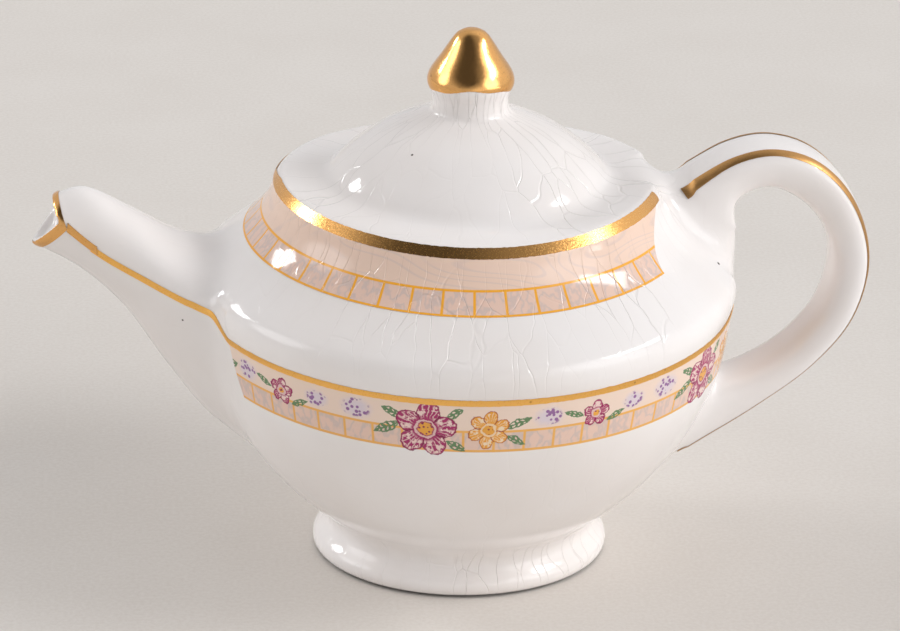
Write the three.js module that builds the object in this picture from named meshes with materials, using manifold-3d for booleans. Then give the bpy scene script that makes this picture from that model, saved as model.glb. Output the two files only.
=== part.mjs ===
// Miniature teapot ornament: a cast and glazed body with a luted spout, handle, foot and lid,
// printed transfer bands and gilded lines. Millimetres, +Z up, spout towards -X, handle towards +X.
import * as THREE from 'three';
import { mergeVertices } from 'three/addons/utils/BufferGeometryUtils.js';
import loadManifold from 'manifold-3d';

const manifold = await loadManifold();
manifold.setup();

// Driving sizes of the turned body: radius and height of each line round it
const footJoint = { radius: 12, height: 3.9 };
const bandFoot = { radius: 24.45, height: 20.4 };
const waistFoot = { radius: 25.1, height: 25.1 };
const waistHead = { radius: 25.2, height: 25.7 };
const shoulderRadius = 25.7;
const tileFoot = { radius: 20.9, height: 31.9 };
const rimFoot = { radius: 17.95, height: 36.35 };
const rimHead = { radius: 17.45, height: 37.15 };
const wallThickness = 2.2;
const ventRadius = 2.5;
const endLift = 0.7;
const handleLift = { more: 0.35, from: 14, full: 24 };
const footSqueeze = 0.1;
const roundSteps = 54;

// Lid and knob
const lidRadius = 15.8;
const lidHeight = 37.2;
const ledgeDepth = 1.5;
const neckRadius = 3.5;
const neckHeight = 44.4;
const knobRadius = 3.88;
const knobShoulder = 46.9;
const knobTop = 51.7;
const knobSteps = 28;
const capFoot = { inset: 0.25, drop: 0.7, wave: 0.12 };

// Foot
const footRadius = 14.15;
const footGround = { outer: 13.3, inner: 11.4 };
const footBulge = 1.2;
const footShoulder = { radius: 13.5, height: 2.7 };

// Fits and coats
const jointGap = 0.2;
const coatGap = 0.05;
const transferCoat = 0.15;
const gildingCoat = 0.2;
const tipCoat = 0.35;
const stripGap = 0.12;

// Angles, in degrees from the handle or the spout, at which the strips are cut off
const rimCut = 20;
const collarCut = 34.5;
const waistCut = 26;

const glaze = { color: 0xf2ece6, roughness: 0.15, metalness: 0 };
const print = { color: 0xf3d3bd, roughness: 0.3, metalness: 0 };
const gilt = { color: 0xb98a3c, roughness: 0.3, metalness: 1 };

const point2 = ({ radius, height }) => new THREE.Vector2(radius, height);
const at = (radius, height) => new THREE.Vector2(radius, height);

// The hand-finished form isn't quite round: the rim, shoulder and waist sweep up towards the spout
// and more so under the handle, and the foot is a little shallower than it is wide
function settle(geometry) {
  const place = geometry.attributes.position;
  for (let i = 0; i < place.count; i += 1) {
    const [x, y, z] = [place.getX(i), place.getY(i), place.getZ(i)];
    const reach = Math.max(Math.hypot(x, y), rimHead.radius);
    const { more, from, full } = handleLift;
    const sweep = THREE.MathUtils.clamp((z - from) / (full - from), 0, 1);
    const lift = endLift * Math.min(z / rimHead.height, 1) + (x > 0 ? more * sweep : 0);
    const low = Math.max(1 - z / bandFoot.height, 0);
    place.setY(i, y * (1 - footSqueeze * low ** 2));
    place.setZ(i, z + lift * (x / reach) ** 2);
  }
  return geometry;
}

// Turns a mesh's triangles round if it is inside out
function faceOut(geometry) {
  const place = geometry.attributes.position;
  const index = geometry.index.array;
  const corner = [new THREE.Vector3(), new THREE.Vector3(), new THREE.Vector3()];
  let volume = 0;
  for (let i = 0; i < index.length; i += 3) {
    corner.forEach((vertex, k) => vertex.fromBufferAttribute(place, index[i + k]));
    volume += corner[0].dot(corner[1].clone().cross(corner[2]));
  }
  if (volume < 0) {
    for (let i = 0; i < index.length; i += 3) {
      [index[i], index[i + 1]] = [index[i + 1], index[i]];
    }
  }
  return geometry;
}

// A solid of revolution about Z from a profile of radius and height
function turn(profile, steps = roundSteps) {
  const geometry = new THREE.LatheGeometry(profile, steps);
  geometry.rotateX(Math.PI / 2);
  geometry.deleteAttribute('uv');
  geometry.deleteAttribute('normal');
  return faceOut(settle(mergeVertices(geometry, 1e-4)));
}

// A closed solid through a row of rings with the same number of points
function loft(rings, closed = false) {
  const size = rings[0].length;
  const index = [];
  const spans = closed ? rings.length : rings.length - 1;
  for (let r = 0; r < spans; r += 1) {
    const here = r * size;
    const next = ((r + 1) % rings.length) * size;
    for (let i = 0; i < size; i += 1) {
      const j = (i + 1) % size;
      index.push(here + i, here + j, next + j, here + i, next + j, next + i);
    }
  }
  const cap = (start, flip) => {
    for (let i = 0; i < size / 2 - 1; i += 1) {
      const mate = size - 1 - i;
      const quad = [i, i + 1, mate - 1, mate].map((k) => start + k);
      if (flip) quad.reverse();
      index.push(quad[2], quad[1], quad[0], quad[3], quad[2], quad[0]);
    }
  };
  if (!closed) {
    cap(0, false);
    cap((rings.length - 1) * size, true);
  }
  const geometry = new THREE.BufferGeometry().setFromPoints(rings.flat());
  geometry.setIndex(index);
  return faceOut(geometry);
}

// Boolean cuts
function toManifold(geometry) {
  const whole = mergeVertices(geometry, 1e-4);
  const vertProperties = new Float32Array(whole.attributes.position.array);
  const triVerts = new Uint32Array(whole.index.array);
  const mesh = new manifold.Mesh({ numProp: 3, vertProperties, triVerts });
  return new manifold.Manifold(mesh);
}

function cutBy(geometry, cutter) {
  const mesh = toManifold(geometry).subtract(toManifold(cutter)).getMesh();
  const result = new THREE.BufferGeometry();
  result.setAttribute('position', new THREE.BufferAttribute(new Float32Array(mesh.vertProperties), 3));
  result.setIndex(new THREE.BufferAttribute(new Uint32Array(mesh.triVerts), 1));
  return result;
}

// Each stretch of the body's outer profile, from the foot up to the rim
const bowlCurve = new THREE.CubicBezierCurve(
  point2(footJoint),
  at(17.5, 7.0),
  at(22.9, 13.8),
  point2(bandFoot),
);
const bandCurve = new THREE.QuadraticBezierCurve(point2(bandFoot), at(25.0, 22.9), point2(waistFoot));
const waistCurve = new THREE.LineCurve(point2(waistFoot), point2(waistHead));
const shoulderCurve = new THREE.CubicBezierCurve(
  point2(waistHead),
  at(shoulderRadius + 0.9, 28.4),
  at(24.4, 30.6),
  point2(tileFoot),
);
const collarCurve = new THREE.QuadraticBezierCurve(point2(tileFoot), at(18.9, 33.5), point2(rimFoot));
const rimCurve = new THREE.LineCurve(point2(rimFoot), point2(rimHead));

const outerStretches = [
  bowlCurve.getPoints(8),
  bandCurve.getPoints(3),
  waistCurve.getPoints(1),
  shoulderCurve.getPoints(7),
  collarCurve.getPoints(4),
  rimCurve.getPoints(1),
];
const outerProfile = outerStretches.flatMap((points, i) => (i === 0 ? points : points.slice(1)));

// Moves each point of an open profile sideways, along the mean of its two edges' normals
function offsetProfile(points, distance) {
  return points.map((point, i) => {
    const before = points[Math.max(i - 1, 0)];
    const after = points[Math.min(i + 1, points.length - 1)];
    const along = after.clone().sub(before).normalize();
    return at(point.x + along.y * distance, point.y - along.x * distance);
  });
}

// The cast body: an even wall round a hollow, a ledge for the lid and a vent hole in the base
function bodySolid() {
  const ledgeRadius = lidRadius - ledgeDepth;
  const ledgeHeight = lidHeight - ledgeDepth;
  const baseTop = footJoint.height + wallThickness;
  const outside = [...bowlCurve.getPoints(5), ...shoulderCurve.getPoints(5)];
  const inside = offsetProfile(outside, -wallThickness).filter((p) => p.y > baseTop);
  return turn([
    at(ventRadius, footJoint.height),
    ...outerProfile,
    at(lidRadius + jointGap, lidHeight),
    at(lidRadius + jointGap, ledgeHeight),
    at(ledgeRadius, ledgeHeight),
    at(ledgeRadius, ledgeHeight - wallThickness),
    ...inside.reverse(),
    at(footJoint.radius - wallThickness, baseTop),
    at(ventRadius, baseTop),
    at(ventRadius, footJoint.height),
  ]);
}

function footSolid() {
  const top = footJoint.height - jointGap;
  const outside = new THREE.SplineCurve([
    at(footGround.outer, 0),
    at(footRadius, footBulge),
    point2(footShoulder),
    at(footJoint.radius + jointGap, top),
  ]);
  return turn([
    at(footGround.inner, 0),
    ...outside.getPoints(7),
    at(footGround.inner - 0.5, top),
    at(footGround.inner, 0),
  ]);
}

function lidSolid() {
  const dome = new THREE.SplineCurve([
    at(lidRadius, lidHeight),
    at(13.6, 37.6),
    at(11.4, 39.5),
    at(8.4, 41.9),
    at(5.4, 43.4),
    at(neckRadius, neckHeight - jointGap),
  ]);
  const under = lidHeight - ledgeDepth + jointGap;
  return turn([
    at(0, under + 3.6),
    at(6, under + 2.6),
    at(11, under),
    at(lidRadius, under),
    ...dome.getPoints(11),
    at(0, neckHeight - jointGap),
  ]);
}

// The knob's outline from the gold's lower edge to its tip
const acornCurve = new THREE.CubicBezierCurve(
  at(knobRadius, knobShoulder),
  at(knobRadius * 0.82, knobShoulder + 2.4),
  at(knobRadius * 0.46, knobTop),
  at(0, knobTop),
);
const capEdge = at(knobRadius - capFoot.inset, knobShoulder - capFoot.drop);

function knobSolid() {
  return turn([
    at(0, neckHeight),
    at(neckRadius, neckHeight),
    at(neckRadius - 0.1, neckHeight + 0.9),
    at(neckRadius, neckHeight + 1.5),
    capEdge,
    ...acornCurve.getPoints(8),
  ], knobSteps);
}

function knobGilding() {
  const outline = [capEdge, ...acornCurve.getPoints(8)];
  const shell = (distance) => offsetProfile(outline, distance).map((p, i) => (
    i === outline.length - 1 ? at(0, knobTop + distance) : p
  ));
  const inner = shell(coatGap);
  const outer = shell(coatGap + gildingCoat);
  const geometry = turn([...inner.reverse(), ...outer], knobSteps);
  const place = geometry.attributes.position;
  for (let i = 0; i < place.count; i += 1) {
    const angle = Math.atan2(place.getY(i), place.getX(i));
    if (place.getZ(i) < capEdge.y + gildingCoat) {
      place.setZ(i, place.getZ(i) + capFoot.wave * (Math.sin(3 * angle) + Math.sin(7 * angle + 1)));
    }
  }
  return geometry;
}

// Draws both ends of a stretch in, so that strips side by side stay clear of each other
function drawIn(points, distance) {
  const towards = (end, next) => end.clone().addScaledVector(next.clone().sub(end).normalize(), distance);
  const last = points.length - 1;
  return [towards(points[0], points[1]), ...points.slice(1, last), towards(points[last], points[last - 1])];
}

// A coat of even thickness on a stretch of the body, cut open by an angle each side of a gap
// that lies opposite to its middle
function wrapStrip(stretch, coat, cut, middle) {
  const [fromDegrees, toDegrees] = [middle - 180 + cut, middle + 180 - cut];
  const points = drawIn(stretch, stripGap);
  const inner = offsetProfile(points, coatGap);
  const outer = offsetProfile(points, coatGap + coat);
  const section = [...inner, ...outer.reverse()];
  const step = 360 / roundSteps;
  const angles = [fromDegrees];
  for (let a = Math.ceil(fromDegrees / step + 0.05) * step; a < toDegrees - 0.2; a += step) angles.push(a);
  angles.push(toDegrees);
  const rings = angles.map((degrees) => {
    const angle = THREE.MathUtils.degToRad(degrees);
    const flat = facetScale(degrees, step);
    return section.map((p) => new THREE.Vector3(
      p.x * flat * Math.cos(angle),
      p.x * flat * Math.sin(angle),
      p.y,
    ));
  });
  return settle(loft(rings));
}

// A point between two corners of the turned body lies on the flat between them
function facetScale(degrees, step) {
  const within = degrees - Math.floor(degrees / step) * step;
  const half = THREE.MathUtils.degToRad(step / 2);
  const away = THREE.MathUtils.degToRad(within - step / 2);
  return Math.cos(half) / Math.cos(away);
}

// Spout: three guide lines from the lip to the root inside the body
function line(...points) {
  const corners = points.map((p) => new THREE.Vector3(...p));
  return new THREE.CatmullRomCurve3(corners, false, 'centripetal');
}

const spoutTop = line(
  [-38.5, 0, 35.95], [-35.8, 0, 36.8], [-31.4, 0, 34.6],
  [-26.6, 0, 31.7], [-21.5, 0, 30.7], [-17, 0, 30.2],
);
const spoutRidge = line(
  [-37.9, 3.0, 34.4], [-34.4, 3.7, 31.7], [-30.2, 5.2, 29.6],
  [-26.4, 7.2, 28.1], [-22.6, 9.2, 27.0], [-17, 11.4, 26.0],
);
const spoutKeel = line(
  [-40.6, 0, 31.5], [-36.4, 0, 29.2], [-32.2, 0, 25.3],
  [-28.4, 0, 19.7], [-24.0, 0, 13.9], [-17, 0, 8.0],
);
const spoutStations = 18;
const quarterSteps = 5;
const mouthDepth = 1.6;
const mouthSlope = 0.55;
const lipThickness = 0.75;
const keelWedge = 1.3;

// One ring of the spout, from its crown down the near side and up the far side
function spoutRing(along, shrink = 0, push = 0) {
  const crown = spoutTop.getPoint(along);
  const ridge = spoutRidge.getPoint(along);
  const keel = spoutKeel.getPoint(along);
  const middle = new THREE.Vector3(ridge.x, 0, ridge.z);
  const side = [];
  for (let i = 0; i <= 2 * quarterSteps; i += 1) {
    const angle = (1 - i / quarterSteps) * Math.PI / 2;
    const up = angle >= 0;
    const power = up ? 1 : keelWedge;
    const across = Math.cos(angle) ** power;
    const rise = Math.abs(Math.sin(angle)) ** power;
    const tip = up ? crown : keel;
    const p = middle.clone().addScaledVector(tip.clone().sub(middle), rise);
    p.y = ridge.y * across;
    side.push(p);
  }
  const centre = crown.clone().add(keel).add(middle).divideScalar(3);
  const scale = 1 - shrink / ridge.y;
  const shaped = side.map((p) => p.sub(centre).multiplyScalar(scale).add(centre));
  shaped.forEach((p) => {
    p.x += push;
    p.z -= push * mouthSlope;
  });
  const far = shaped.slice(1, -1).reverse().map((p) => new THREE.Vector3(p.x, -p.y, p.z));
  return [...shaped, ...far];
}

function spoutSolid(bodyCutter) {
  const rings = [
    spoutRing(0, lipThickness, mouthDepth),
    spoutRing(0, lipThickness, mouthDepth * 0.4),
    spoutRing(0, lipThickness * 0.8),
  ];
  for (let i = 0; i <= spoutStations; i += 1) rings.push(spoutRing(i / spoutStations));
  return cutBy(loft(rings), bodyCutter);
}

// A ring part of the way from one station of the spout to the next, on the flats between them
function spoutRingAt(station) {
  const whole = Math.min(Math.floor(station), spoutStations - 1);
  const here = spoutRing(whole / spoutStations);
  const next = spoutRing((whole + 1) / spoutStations);
  return here.map((p, i) => p.lerp(next[i], station - whole));
}

// Every station between two places along the spout, with the two ends
function stationsBetween(from, to) {
  const stations = [from];
  for (let i = Math.floor(from) + 1; i < to; i += 1) stations.push(i);
  return [...stations, to];
}

function growFrom(middle, p, distance) {
  return p.clone().addScaledVector(p.clone().sub(middle).normalize(), distance);
}

// A gilded line along the spout's side ridge, front on -Y and back on +Y
function ridgeGilding(from, to, halfWidth, coat, side) {
  const rings = stationsBetween(from, to).map((station) => {
    const ring = spoutRingAt(station);
    const ridge = ring[quarterSteps];
    const middle = ridge.clone().setY(0);
    const towards = (p) => ridge.clone().addScaledVector(p.clone().sub(ridge).normalize(), halfWidth);
    const stretch = [towards(ring[quarterSteps - 1]), ridge, towards(ring[quarterSteps + 1])];
    const section = [
      ...stretch.map((p) => growFrom(middle, p, coatGap)),
      ...stretch.map((p) => growFrom(middle, p, coatGap + coat)).reverse(),
    ];
    return section.map((p) => p.setY(p.y * side));
  });
  return loft(rings);
}

// The gilded band round the spout's lip
function lipGilding(width) {
  const coatRing = (station, distance) => {
    const ring = spoutRingAt(station);
    const middle = ring[quarterSteps].clone().setY(0);
    return ring.map((p) => growFrom(middle, p, distance));
  };
  const thick = coatGap + gildingCoat;
  return loft([
    coatRing(0, thick),
    coatRing(width, thick),
    coatRing(width, coatGap),
    coatRing(0, coatGap),
  ], true);
}

// Handle: the outer and the inner line of the strap, and its half width, from the collar to the bowl
const handleOuter = line(
  [15.5, 0, 35.4], [19.4, 0, 37.45], [24.6, 0, 40.2], [28.4, 0, 40.85], [32.5, 0, 39.65], [36.1, 0, 36.0],
  [38.05, 0, 29.9], [36.9, 0, 23.85], [33.3, 0, 18.95], [27.6, 0, 14.4], [22.4, 0, 10.95], [17.0, 0, 7.4],
);
const handleInner = line(
  [19.5, 0, 28.2], [24.2, 0, 31.6], [24.75, 0, 35.3], [27.9, 0, 36.75], [30.9, 0, 35.6], [33.3, 0, 33.2],
  [34.6, 0, 29.5], [33.6, 0, 24.4], [30.5, 0, 20.5], [26.0, 0, 17.9], [21.5, 0, 17.0], [16.5, 0, 16.0],
);
const strapHalfWidth = 3.35;
const rootFlare = 0.9;
const handleStations = 42;
// The strap's section: across its width from -1 to 1, and from its inner line at 0 to its outer line at 1.
// Its outer face is a little crowned, with a flat near each edge that carries the gold
const strapFlat = { inside: [0.7, 0.945], outside: [0.9, 0.885] };
const strapSide = [[1, 0.7], [0.97, 0.4], [0.79, 0.12], [0.42, 0]];
const strapRight = [[0.35, 0.99], strapFlat.inside, strapFlat.outside, ...strapSide];
const strapSection = [
  ...strapRight.map(([across, through]) => [-across, through]),
  ...strapRight.slice().reverse(),
];

function strapPoint(along, across, through) {
  const outer = handleOuter.getPoint(along);
  const inner = handleInner.getPoint(along);
  const flare = rootFlare * (2 * along - 1) ** 6;
  const p = inner.lerp(outer, through);
  p.y = across * (strapHalfWidth + flare);
  return p;
}

function handleSolid(bodyCutter) {
  const rings = [];
  for (let i = 0; i <= handleStations; i += 1) {
    rings.push(strapSection.map(([across, through]) => strapPoint(i / handleStations, across, through)));
  }
  return cutBy(loft(rings), bodyCutter);
}

// A gilded line on the flat near one edge of the strap's outer face
const strapGold = { from: 4, to: 39, inside: 0.1, outside: 0.9 };

function strapGilding(side) {
  const thick = coatGap + gildingCoat;
  const rings = [];
  for (let i = strapGold.from; i <= strapGold.to; i += 1) {
    const along = i / handleStations;
    const [inside, outside] = [strapFlat.inside, strapFlat.outside].map(
      ([across, through]) => strapPoint(along, side * across, through),
    );
    const out = strapPoint(along, 0, 1).sub(strapPoint(along, 0, 0)).normalize();
    const edge = (share, height) => inside.clone().lerp(outside, share).addScaledVector(out, height);
    rings.push([
      edge(strapGold.inside, coatGap),
      edge(strapGold.outside, coatGap),
      edge(strapGold.outside, thick),
      edge(strapGold.inside, thick),
    ]);
  }
  return loft(rings);
}

// Assembly
const pot = new THREE.Group();

function place(name, geometry, look) {
  geometry.computeVertexNormals();
  const mesh = new THREE.Mesh(geometry, new THREE.MeshStandardMaterial(look));
  mesh.name = name;
  pot.add(mesh);
}

const bodyCutter = turn([
  at(0, footJoint.height),
  ...offsetProfile(outerProfile, jointGap),
  at(0, lidHeight + jointGap),
]);

place('body', bodySolid(), glaze);
place('foot_ring', footSolid(), glaze);
place('spout', spoutSolid(bodyCutter), glaze);
place('handle', handleSolid(bodyCutter), glaze);
place('lid', lidSolid(), glaze);
place('knob', knobSolid(), glaze);
place('knob_gilding', knobGilding(), gilt);
place('rim_gilding', wrapStrip(rimCurve.getPoints(1), gildingCoat, rimCut, 180), gilt);
place('collar_transfer', wrapStrip(collarCurve.getPoints(4), transferCoat, collarCut, 180), print);
place('waist_gilding', wrapStrip(waistCurve.getPoints(1), gildingCoat, waistCut, 0), gilt);
place('waist_transfer', wrapStrip(bandCurve.getPoints(3), transferCoat, waistCut, 0), print);

// Stations of the spout at which its gold ends, the gap between one piece and the next,
// and the lines' half widths
const lipEnd = 0.75;
const tipEnd = 2.7;
const ridgeEnd = 13;
const endGap = 0.05;
const tipHalfWidth = 0.36;
const ridgeHalfWidth = 0.28;
place('spout_lip_gilding', lipGilding(lipEnd), gilt);
for (const [side, label] of [[-1, 'front'], [1, 'back']]) {
  const tip = ridgeGilding(lipEnd + endGap, tipEnd, tipHalfWidth, tipCoat, side);
  const thinLine = ridgeGilding(tipEnd + endGap, ridgeEnd, ridgeHalfWidth, gildingCoat, side);
  place(`spout_tip_gilding_${label}`, tip, gilt);
  place(`spout_gilding_${label}`, thinLine, gilt);
  place(`handle_gilding_${label}`, strapGilding(side), gilt);
}

// The frame's origin is under the middle of the whole object
const box = new THREE.Box3().setFromObject(pot);
pot.position.x = -(box.min.x + box.max.x) / 2;
pot.position.z = -box.min.z;

export default pot;
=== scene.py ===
import math

import bmesh
import bpy
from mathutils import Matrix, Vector, noise
from mathutils.bvhtree import BVHTree


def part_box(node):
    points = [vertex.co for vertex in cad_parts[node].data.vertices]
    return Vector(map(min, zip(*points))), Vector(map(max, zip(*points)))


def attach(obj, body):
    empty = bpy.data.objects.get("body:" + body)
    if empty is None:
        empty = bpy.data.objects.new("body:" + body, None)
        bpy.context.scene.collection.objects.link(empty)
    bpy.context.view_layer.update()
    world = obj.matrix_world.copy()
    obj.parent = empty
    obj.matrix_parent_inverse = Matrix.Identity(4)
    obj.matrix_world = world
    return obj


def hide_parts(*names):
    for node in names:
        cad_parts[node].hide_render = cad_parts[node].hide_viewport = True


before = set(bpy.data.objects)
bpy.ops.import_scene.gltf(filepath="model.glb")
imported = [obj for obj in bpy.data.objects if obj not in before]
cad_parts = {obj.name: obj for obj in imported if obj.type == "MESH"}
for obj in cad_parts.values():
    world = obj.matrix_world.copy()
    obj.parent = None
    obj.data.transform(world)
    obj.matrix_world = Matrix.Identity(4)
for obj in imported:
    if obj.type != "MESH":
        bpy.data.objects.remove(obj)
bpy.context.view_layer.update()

# Lengths below are in millimetres with the pot's axis at x = 0; the row frame is in metres
mm = 0.001
mergeWithin = 0.0005      # points as close as this are one
footLow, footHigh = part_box("foot_ring")
axisShift = (footLow.x + footHigh.x) / 2 / mm


def clamp(value):
    return min(max(value, 0.0), 1.0)


def bezier(corners, share):
    line = [Vector(c) for c in corners]
    while len(line) > 1:
        line = [a.lerp(b, share) for a, b in zip(line, line[1:])]
    return line[0]


# A smooth line through every point, open or closed
def curveThrough(points, share, closed=False):
    line = [Vector(p) for p in points]
    count = len(line)
    if closed:
        line = [line[-1]] + line + line[:2]
        place = (share % 1.0) * count
    else:
        line = [line[0] * 2 - line[1]] + line + [line[-1] * 2 - line[-2]]
        place = clamp(share) * (count - 1)
    first = min(int(place), len(line) - 4)
    a, b, c, d = line[first:first + 4]
    before, along, after = [max((q - p).length, 1e-6) ** 0.5 for p, q in ((a, b), (b, c), (c, d))]
    leave = ((b - a) / before - (c - a) / (before + along) + (c - b) / along) * along
    reach = ((c - b) / along - (d - b) / (along + after) + (d - c) / after) * along
    t = place - first
    return (b * (2 * t ** 3 - 3 * t ** 2 + 1) + leave * (t ** 3 - 2 * t ** 2 + t)
            + c * (3 * t ** 2 - 2 * t ** 3) + reach * (t ** 3 - t ** 2))


def sample(curve, points, count):
    return [curve(points, i / count) for i in range(count + 1)]


def toRow(p):
    return Vector(((p.x + axisShift) * mm, p.y * mm, p.z * mm))


# A sheet of columns by rows, laid by a rule from its two shares, with its seam merged and its ends closed
def layTube(columns, rows, rule):
    bm = bmesh.new()
    bmesh.ops.create_grid(bm, x_segments=columns, y_segments=rows, size=0.5)
    for v in bm.verts:
        v.co = rule(v.co.x + 0.5, v.co.y + 0.5)
    bmesh.ops.remove_doubles(bm, verts=bm.verts[:], dist=mergeWithin)
    bmesh.ops.holes_fill(bm, edges=[e for e in bm.edges if e.is_boundary], sides=0)
    bmesh.ops.recalc_face_normals(bm, faces=bm.faces[:])
    return bm


# Outline of the turned ware, radius and height of its corners
turned = {
    "vent": [(0.0, 8.0), (2.5, 8.0), (2.5, 3.8)],
    "recess": [(10.8, 3.7), (11.4, 0.0)],
    "footSide": [(13.15, 0.0), (13.95, 0.3), (14.2, 0.95), (14.0, 1.6), (13.3, 2.25), (12.9, 2.85)],
    "footFillet": [(12.9, 2.85), (12.45, 3.6), (13.0, 4.4), (14.46, 5.53)],
    "bowl": [(14.46, 5.53), (19.03, 9.04), (23.13, 14.79), (24.45, 20.4)],
    "band": [(24.45, 20.4), (25.0, 22.9), (25.1, 25.1)],
    "waist": [(25.1, 25.1), (25.2, 25.7)],
    "shoulder": [(25.2, 25.7), (25.45, 26.7), (25.42, 27.6), (25.12, 28.4), (24.5, 29.02), (22.75, 30.42),
                 (20.9, 31.8)],
    "collar": [(20.9, 31.8), (19.8, 32.95), (18.45, 34.1), (18.1, 36.42)],
    "rim": [(18.1, 36.42), (17.38, 37.2)],
    "dome": [(15.8, 37.2), (14.0, 37.3), (13.0, 37.72), (12.2, 38.65), (11.25, 39.62), (8.4, 41.9),
             (5.4, 43.4), (3.5, 44.2)],
    "neck": [(3.6, 44.4), (3.52, 45.1), (3.56, 45.7), (3.68, 46.1)],
    "acorn": [(3.86, 46.35), (4.02, 47.0), (3.7, 47.86), (3.22, 48.6), (2.7, 49.36), (2.24, 50.1),
              (1.77, 50.85), (1.27, 51.48), (0.68, 51.78), (0.0, 51.86)],
    # how each stretch of the outline is drawn, and in how many steps
    "stretches": [("footSide", curveThrough, 14), ("footFillet", bezier, 12), ("bowl", bezier, 56),
                  ("band", bezier, 14), ("waist", bezier, 3), ("shoulder", curveThrough, 42),
                  ("collar", bezier, 20), ("rim", bezier, 4), ("dome", curveThrough, 40),
                  ("neck", curveThrough, 8), ("acorn", curveThrough, 45)],
    "endLift": 0.7,
    "handleLift": (0.35, 14.0, 24.0),     # how much more, from which height and from where in full
    "footSqueeze": 0.1,
    "spinSteps": 180,
}


# The hand-finished form: the ends sweep up a little, more so under the handle, and the foot is shallower
# than it is wide
def settle(p):
    reach = max(math.hypot(p.x, p.y), turned["rim"][-1][0])
    lift = turned["endLift"] * min(p.z / turned["rim"][-1][1], 1.0)
    if p.x > 0:
        more, start, full = turned["handleLift"]
        lift += more * clamp((p.z - start) / (full - start))
    lift *= (p.x / reach) ** 2
    low = max(1 - p.z / turned["band"][0][1], 0.0)
    return Vector((p.x, p.y * (1 - turned["footSqueeze"] * low ** 2), p.z + lift))


# A point of the outline, or a way out of it, swung round to where a turn points
def swung(turn, point):
    return Vector((turn.x * point[0], turn.y * point[0], point[1]))


def turnedForm():
    outline = [Vector(p) for p in turned["vent"] + turned["recess"]]
    for stretch, curve, count in turned["stretches"]:
        drawn = sample(curve, turned[stretch], count)
        outline += drawn[1:] if (drawn[0] - outline[-1]).length < mergeWithin else drawn
    bm = bmesh.new()
    corners = [bm.verts.new((p.x, 0.0, p.y)) for p in outline]
    edges = [bm.edges.new(pair) for pair in zip(corners, corners[1:])]
    bmesh.ops.spin(bm, geom=corners + edges, cent=(0, 0, 0), axis=(0, 0, 1), angle=math.tau,
                   steps=turned["spinSteps"], use_merge=True)
    bmesh.ops.remove_doubles(bm, verts=bm.verts[:], dist=mergeWithin)
    bmesh.ops.recalc_face_normals(bm, faces=bm.faces[:])
    for v in bm.verts:
        v.co = settle(v.co)
    return bm


# Spout: crown, side ridge and keel lines from the lip to the root inside the body
spout = {
    "crown": [(-38.5, 0, 35.95), (-35.8, 0, 36.8), (-31.4, 0, 34.6), (-26.6, 0, 31.7), (-21.5, 0, 30.7),
              (-17, 0, 30.2)],
    "ridge": [(-37.9, 3.0, 34.4), (-34.4, 3.7, 31.7), (-30.2, 5.2, 29.6), (-26.4, 7.2, 28.1),
              (-22.6, 9.2, 27.0), (-17, 11.4, 26.0)],
    "keel": [(-40.6, 0, 31.5), (-36.4, 0, 29.2), (-32.2, 0, 25.3), (-28.4, 0, 19.7), (-24.0, 0, 13.9),
             (-17, 0, 8.0)],
    "wedge": 1.3,             # how much the sides fall in below the ridge
    "mouthDepth": 0.8,
    "mouthSlope": 0.55,
    "lip": 0.75,
    # rings of the mouth from its floor up, in shares of the lip's width and of the depth
    "mouthRings": [(1.0, 1.0), (1.0, 0.7), (1.0, 0.4), (0.8, 0.0)],
    "stations": 72,
    "ringSteps": 96,
}


# A place on the spout: along from lip to root, around from the crown down the back and up the front
def spoutPoint(along, around, shrink=0.0, push=0.0):
    crown, ridge, keel = [curveThrough(spout[k], along) for k in ("crown", "ridge", "keel")]
    middle = Vector((ridge.x, 0, ridge.z))
    down = around * 2 if around <= 0.5 else 2 - around * 2
    angle = (1 - 2 * down) * math.pi / 2
    power = 1.0 if angle >= 0 else spout["wedge"]
    across = max(math.cos(angle), 0.0) ** power
    rise = abs(math.sin(angle)) ** power
    p = middle.lerp(crown if angle >= 0 else keel, rise)
    p.y = ridge.y * across * (1 if around <= 0.5 else -1)
    centre = (crown + keel + middle) / 3
    p = centre + (p - centre) * (1 - shrink / ridge.y)
    return p + Vector((push, 0, -push * spout["mouthSlope"]))


def spoutForm():
    rings = [(0, spout["lip"] * wide, spout["mouthDepth"] * deep) for wide, deep in spout["mouthRings"]]
    rings += [(i / spout["stations"], 0, 0) for i in range(spout["stations"] + 1)]

    def rule(u, w):
        along, shrink, push = rings[round(w * (len(rings) - 1))]
        return spoutPoint(along, u, shrink, push)
    return layTube(spout["ringSteps"], len(rings) - 1, rule)


# Handle: outer and inner line of the strap, from the collar round to the bowl
handle = {
    "outer": [(15.5, 35.4), (19.4, 37.45), (24.6, 40.2), (28.4, 40.85), (32.5, 39.65), (36.1, 36.0),
              (38.05, 29.9), (36.9, 23.85), (33.3, 18.95), (27.6, 14.4), (22.4, 10.95), (17.0, 7.4)],
    "inner": [(20.4, 26.4), (25.5, 30.2), (25.0, 35.2), (27.9, 36.75), (30.9, 35.6), (33.3, 33.2),
              (34.6, 29.5), (33.6, 24.4), (30.5, 20.5), (26.0, 17.9), (21.5, 17.0), (16.5, 16.0)],
    "halfWidth": 3.35,
    "rootFlare": 0.9,
    "flareBend": 6,           # the higher, the nearer to the roots the flare starts
    # across from -1 to 1, and from the inner line at 0 to the outer line at 1
    "section": [(0.0, 1.0), (-0.5, 0.975), (-0.88, 0.89), (-1.0, 0.7), (-0.97, 0.4), (-0.79, 0.12),
                (-0.42, 0.0), (0.42, 0.0), (0.79, 0.12), (0.97, 0.4), (1.0, 0.7), (0.88, 0.89), (0.5, 0.975)],
    "stations": 130,
    "ringSteps": 72,
}


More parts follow.
